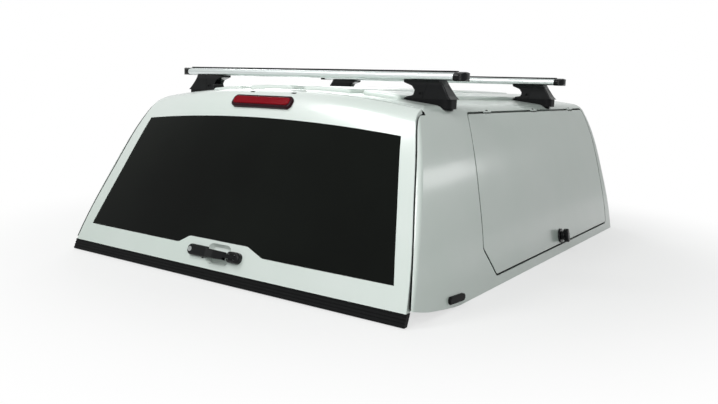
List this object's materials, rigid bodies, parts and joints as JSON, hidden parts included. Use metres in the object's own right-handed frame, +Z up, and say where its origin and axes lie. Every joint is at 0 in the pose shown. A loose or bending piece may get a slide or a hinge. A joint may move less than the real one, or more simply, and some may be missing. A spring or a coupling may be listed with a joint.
{
  "type": "pickup truck canopy",
  "caption": "Hard canopy shell for a pickup bed with a glazed lift-up rear door, lift-up side doors, a high brake light and roof bars.",
  "frame": {"origin": "bottom centre of the bounding box, on the plane of the side rails", "axes": "+X to the vehicle's right, +Y to its front, +Z up"},
  "size_m": [1.5156, 1.929, 0.683],
  "materials": {
    "gelcoat": "gloss",
    "glass": "tinted",
    "rubber": "matt",
    "black_plastic": "fine grain",
    "aluminium": "satin anodised",
    "steel": "plated",
    "red_lens": "clear red",
    "dark_red": "gloss"
  },
  "bodies": {
    "shell": {"canopy_shell": "gelcoat", "rear_weather_strip": "rubber", "side_weather_strips": "rubber", "rear_hinge_leaves": "gelcoat", "left_side_door": "gelcoat", "left_lock_plate": "black_plastic", "left_lock_knob": "black_plastic", "right_hinge_leaves": "gelcoat", "left_hinge_leaves": "gelcoat", "left_door_hinge_knuckles": "gelcoat", "corner_pads": "rubber", "rear_crossbar": "aluminium", "front_crossbar": "aluminium", "rear_bar_strip": "rubber", "front_bar_strip": "rubber", "rear_bar_end_caps": "black_plastic", "front_bar_end_caps": "black_plastic", "rear_right_foot": "black_plastic", "rear_right_foot_pad": "rubber", "rear_left_foot": "black_plastic", "rear_left_foot_pad": "rubber", "front_right_foot": "black_plastic", "front_right_foot_pad": "rubber", "front_left_foot": "black_plastic", "front_left_foot_pad": "rubber"},
    "rear_door": {"rear_door_frame": "gelcoat", "rear_glass": "glass", "rear_bottom_seal": "rubber", "rear_handle_bezel": "black_plastic", "rear_handle_pin": "steel", "rear_key_barrel": "steel", "brake_light_rim": "dark_red", "brake_light_lens": "red_lens", "rear_door_hinge_knuckles": "gelcoat"},
    "rear_handle": {"rear_handle_grip": "black_plastic"},
    "right_door": {"right_side_door": "gelcoat", "right_lock_plate": "black_plastic", "right_door_hinge_knuckles": "gelcoat"},
    "right_lock": {"right_lock_knob": "black_plastic"}
  },
  "joints": [
    {"name": "rear_door_lift", "type": "hinge", "parent": "shell", "child": "rear_door", "pos_m": [0, -0.65, 0.6065], "axis": [-1, 0, 0], "range_deg": [0, 82]},
    {"name": "rear_handle_pull", "type": "hinge", "parent": "rear_door", "child": "rear_handle", "pos_m": [0.082, -0.9442, 0.08912], "axis": [0, 0.3746, 0.9272], "range_deg": [0, 18]},
    {"name": "right_door_lift", "type": "hinge", "parent": "shell", "child": "right_door", "pos_m": [0.566, 0, 0.5515], "axis": [0, -1, 0], "range_deg": [0, 80]},
    {"name": "right_lock_turn", "type": "hinge", "parent": "right_door", "child": "right_lock", "pos_m": [0.7186, 0.22, 0.068], "axis": [0.9863, 0, 0.165], "range_deg": [0, 90]}
  ]
}
